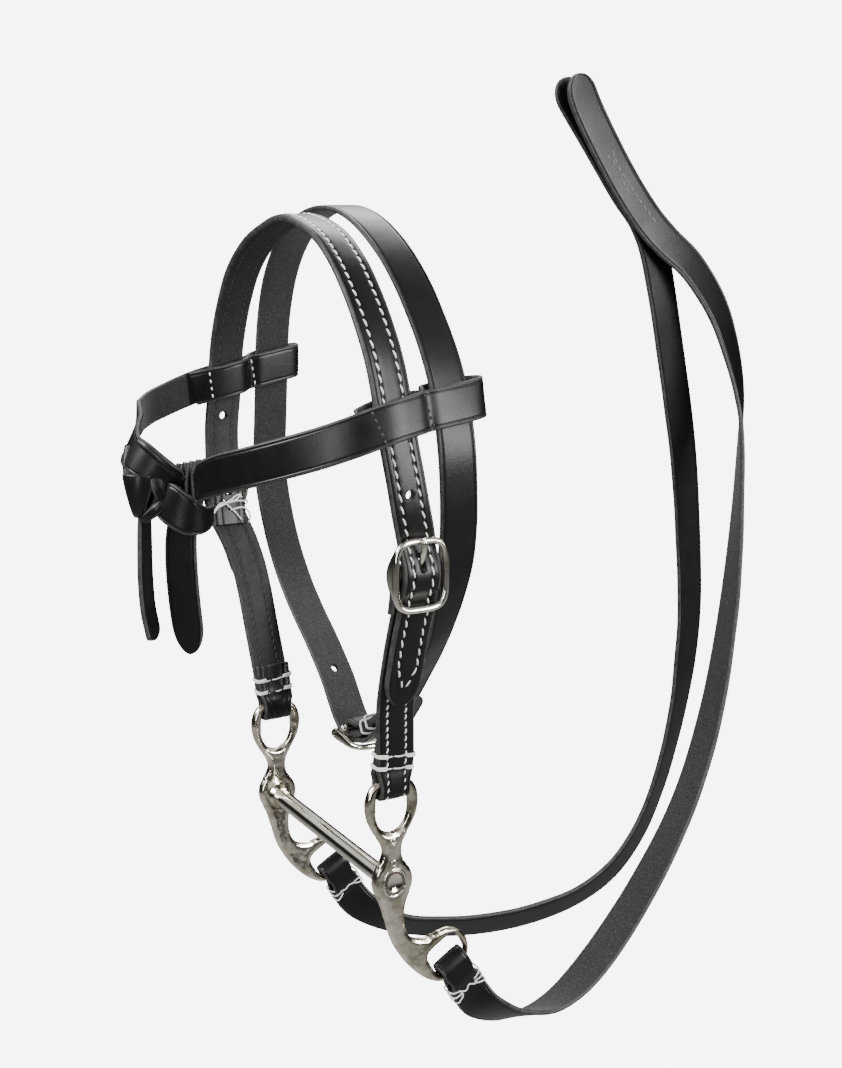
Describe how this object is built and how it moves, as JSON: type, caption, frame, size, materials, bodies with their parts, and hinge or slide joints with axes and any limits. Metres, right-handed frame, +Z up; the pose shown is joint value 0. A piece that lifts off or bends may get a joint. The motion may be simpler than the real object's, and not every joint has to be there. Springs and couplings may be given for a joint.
{
  "type": "miniature leather bridle with curb bit",
  "caption": "Small black leather bridle: crown strap, buckled cheekpieces, throatlatch, tied browband, straight-bar curb bit and joined reins.",
  "frame": {"origin": "the crown strap over the poll, where the bridle hangs", "axes": "+Z up from the bit to the poll; +X to the horse's near (left) side; -Y to the forehead, +Y towards the reins"},
  "size_m": [0.1266, 0.2176, 0.2975],
  "materials": {
    "black_leather": "smooth bridle leather, matte flesh side",
    "polished_nickel": "polished plate",
    "white_thread": "waxed hand stitching"
  },
  "bodies": {
    "headstall": {"crown_strap": "black_leather", "cheekpiece_near": "black_leather", "cheekpiece_off": "black_leather", "cheek_buckle_near": "polished_nickel", "cheek_buckle_off": "polished_nickel", "throatlatch": "black_leather", "throat_buckle": "polished_nickel", "throat_stitch": "white_thread", "browband_near": "black_leather", "browband_off": "black_leather", "knot_turn_off": "black_leather", "knot_turn_near": "black_leather", "knot_bridge": "black_leather", "brow_tail_near": "black_leather", "brow_tail_off": "black_leather", "ring_stitch_near_upper": "white_thread", "ring_stitch_near_lower": "white_thread", "ring_stitch_off_upper": "white_thread", "ring_stitch_off_lower": "white_thread"},
    "bit": {"bit_shank_near": "polished_nickel", "bit_shank_off": "polished_nickel", "bit_rivet_near": "polished_nickel", "bit_rivet_off": "polished_nickel", "mouthpiece_bar": "polished_nickel"},
    "reins": {"rein_near": "black_leather", "rein_off": "black_leather", "rein_stitch_near": "white_thread", "rein_stitch_off": "white_thread"},
    "tongue_near": {"buckle_tongue_near": "polished_nickel"},
    "tongue_off": {"buckle_tongue_off": "polished_nickel"},
    "tongue_throat": {"buckle_tongue_throat": "polished_nickel"}
  },
  "joints": [
    {"name": "bit_swing", "type": "hinge", "parent": "headstall", "child": "bit", "pos_m": [0, 0.0042, -0.156], "axis": [1, 0, 0], "range_deg": [-10, 10]},
    {"name": "rein_swing", "type": "hinge", "parent": "bit", "child": "reins", "pos_m": [0, 0.0254, -0.2188], "axis": [1, 0, 0], "range_deg": [-8, 8]},
    {"name": "near_tongue_lift", "type": "hinge", "parent": "headstall", "child": "tongue_near", "pos_m": [0.0546, 0.0035, -0.092], "axis": [0, 1, 0], "range_deg": [0, 8]},
    {"name": "off_tongue_lift", "type": "hinge", "parent": "headstall", "child": "tongue_off", "pos_m": [-0.057, -0.0036, -0.087], "axis": [0, -1, 0], "range_deg": [0, 8]},
    {"name": "throat_tongue_lift", "type": "hinge", "parent": "headstall", "child": "tongue_throat", "pos_m": [0.0005, 0.0165, -0.1532], "axis": [0, -1, 0], "range_deg": [0, 8]}
  ]
}
